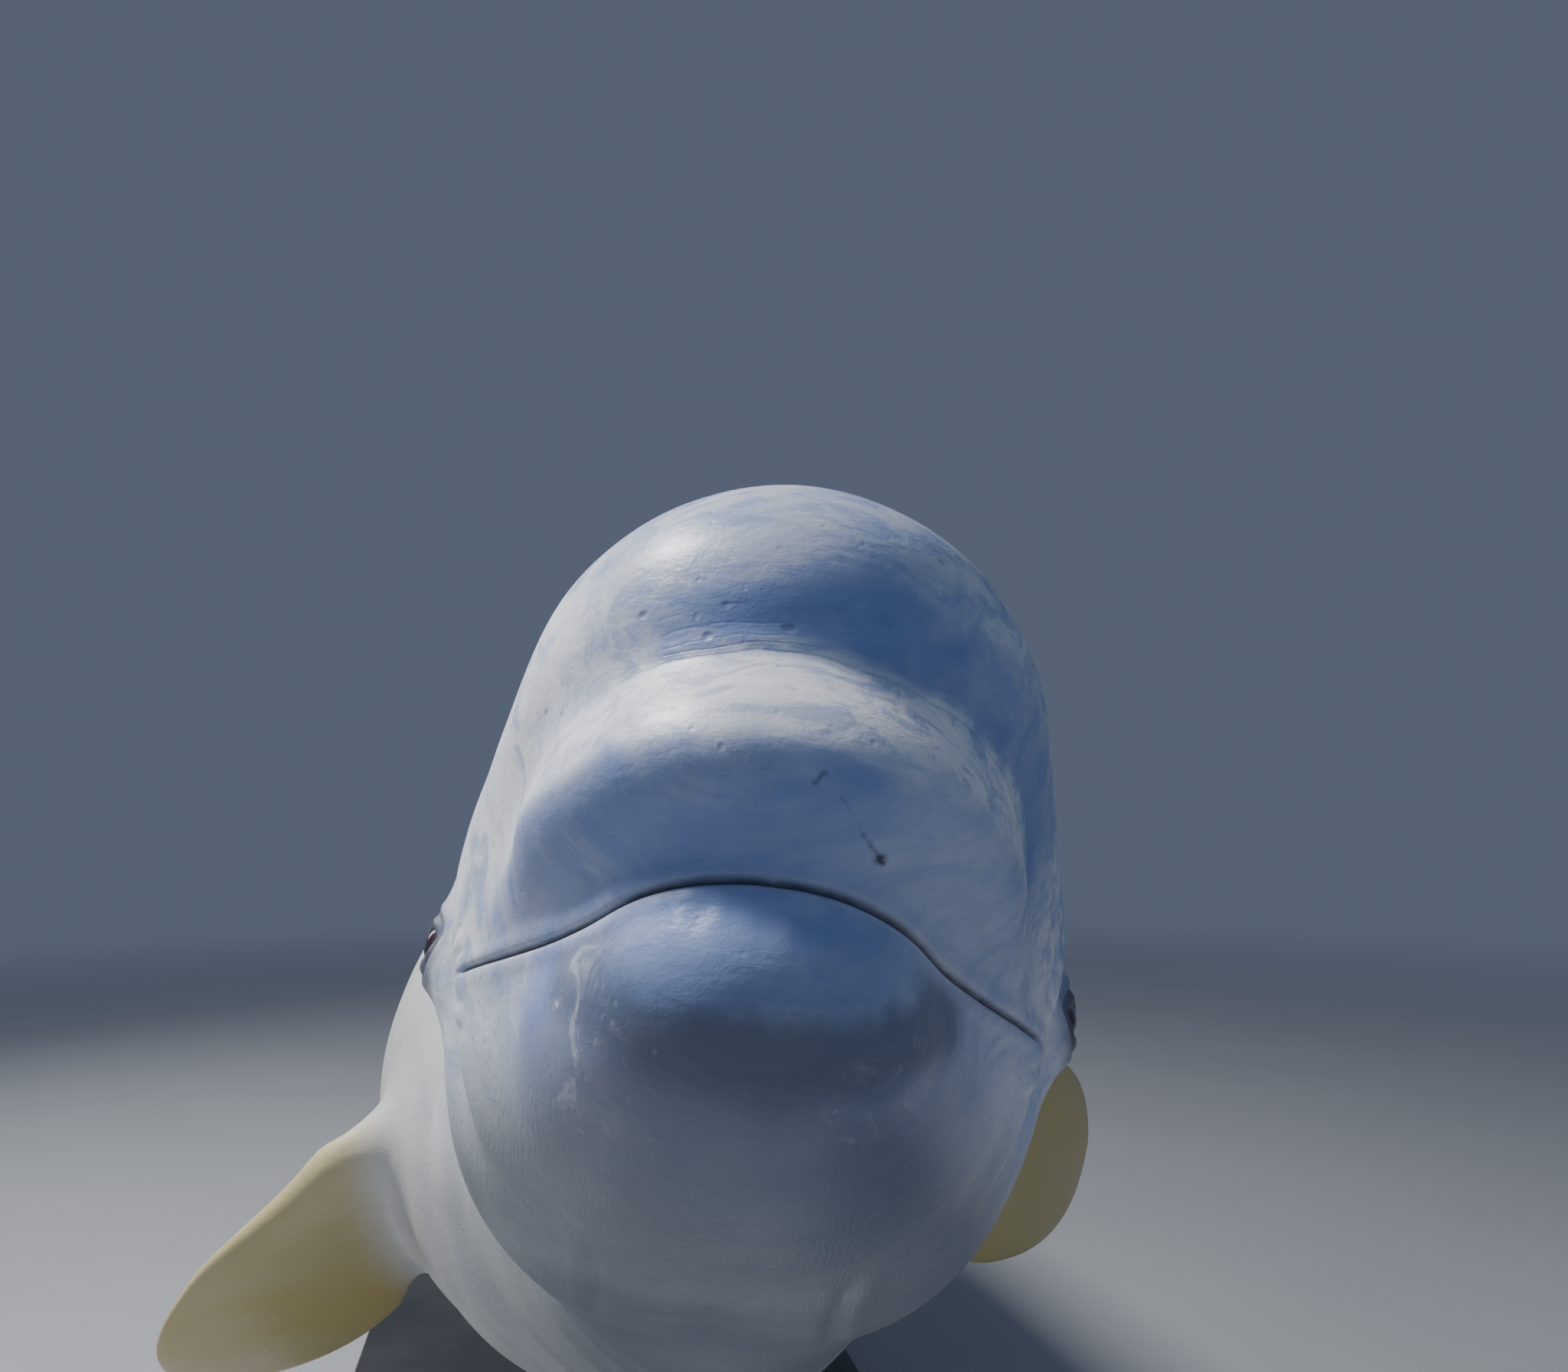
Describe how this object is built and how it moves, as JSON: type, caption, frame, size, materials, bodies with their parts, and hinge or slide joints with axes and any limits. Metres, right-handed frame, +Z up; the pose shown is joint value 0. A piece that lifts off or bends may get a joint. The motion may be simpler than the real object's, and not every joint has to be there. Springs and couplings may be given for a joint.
{
  "type": "beluga whale display model",
  "caption": "Life-size still model of a beluga whale swimming with its head raised and turned, held on a plain display stand with a flat base and short rods.",
  "frame": {"origin": "centre of the model's bounding box in plan, on the floor under the stand's base", "axes": "+Z up, the whale looks along -Y with its flukes at +Y, its left side is on +X"},
  "size_m": [1.2269, 4.0089, 1.2639],
  "materials": {
    "skin": "smooth wet skin, off-white with faint blue-grey mottling",
    "eye": "wet, dark brown",
    "stand_base": "satin dark lacquer",
    "stand_rods": "brushed"
  },
  "bodies": {
    "root": {"head": "skin", "lower_jaw": "skin", "eye_left": "eye", "eye_right": "eye", "neck": "skin", "torso_front": "skin", "torso_rear": "skin", "tail_stock": "skin", "flipper_left": "skin", "flipper_right": "skin", "fluke_left": "skin", "fluke_right": "skin", "stand_base": "stand_base", "stand_rod_front": "stand_rods", "stand_rod_rear": "stand_rods", "stand_foot_front": "stand_rods", "stand_foot_rear": "stand_rods"}
  },
  "joints": []
}
